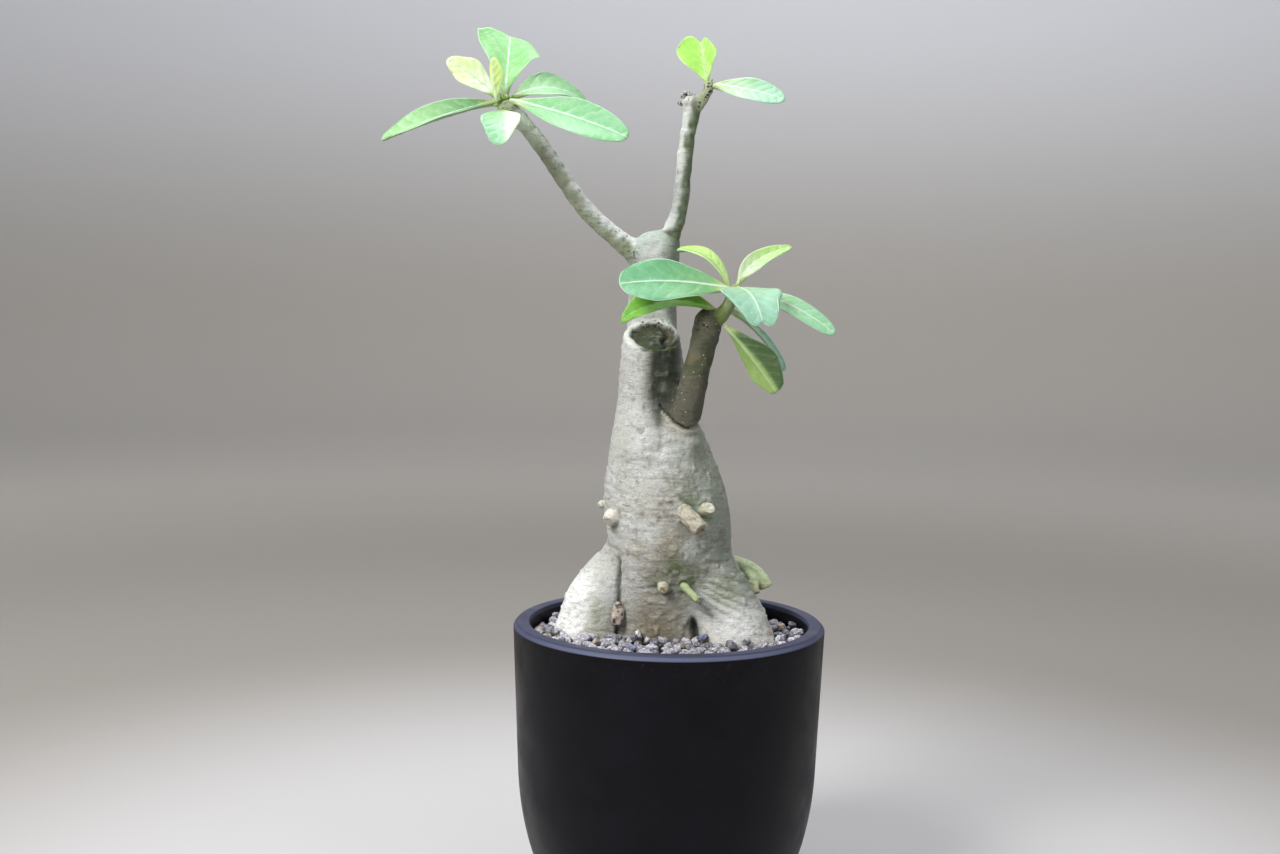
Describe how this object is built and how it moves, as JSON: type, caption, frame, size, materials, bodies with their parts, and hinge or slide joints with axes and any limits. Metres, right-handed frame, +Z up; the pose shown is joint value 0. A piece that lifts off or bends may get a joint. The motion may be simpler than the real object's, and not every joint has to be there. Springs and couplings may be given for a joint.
{
  "type": "potted desert rose adenium",
  "caption": "Potted desert rose with a swollen multi-lobed caudex, cut-back trunk, slim branches, rosettes of fleshy leaves, gravel top dressing and a round dark pot.",
  "frame": {"origin": "centre of the pot's flat underside", "axes": "+Z up along the pot's axis, the plant's long branch reaches towards -X, the cut front column and the side branch face -Y"},
  "size_m": [0.1783, 0.1248, 0.3568],
  "materials": {
    "pot": "matt, near-black, satin on the rim's edge",
    "drainage": "coarse pumice and lava, rough",
    "potting_mix": "gritty dark soil mix, rough",
    "gravel": "grey lava gravel, rough",
    "bark": "living bark, pale grey-green, fine horizontal wrinkles, satin",
    "young_bark": "olive brown young bark with tiny pale dots, satin",
    "green_shoot": "green shoot, satin",
    "leaf": "fleshy green leaf, semi-gloss, pale midrib",
    "young_leaf": "fleshy yellow-green young leaf, semi-gloss"
  },
  "bodies": {
    "root": {"pot": "pot", "drainage_layer": "drainage", "potting_mix": "potting_mix", "top_dressing": "gravel", "caudex": "bark", "branch_left": "bark", "branch_right": "bark", "stub_left": "bark", "stub_left_tip": "bark", "stub_front": "bark", "stub_front_small": "bark", "stub_low": "bark", "root_stub_left": "bark", "branch_side": "young_bark", "shoot_side": "young_bark", "shoot_right": "young_bark", "forked_shoot": "green_shoot", "cut_shoot_low": "green_shoot", "leaf_left_crown": "leaf", "leaf_left_pale": "young_leaf", "leaf_left_bud": "young_leaf", "leaf_left_back": "leaf", "leaf_left_long": "leaf", "leaf_left_arching": "leaf", "leaf_left_front": "leaf", "leaf_right_heart": "young_leaf", "leaf_right_pale": "leaf", "leaf_side_broad": "leaf", "leaf_side_under": "leaf", "leaf_side_young_left": "young_leaf", "leaf_side_young_right": "leaf", "leaf_side_front": "leaf", "leaf_side_long": "leaf", "leaf_side_hanging": "leaf", "leaf_side_behind": "leaf"}
  },
  "joints": []
}
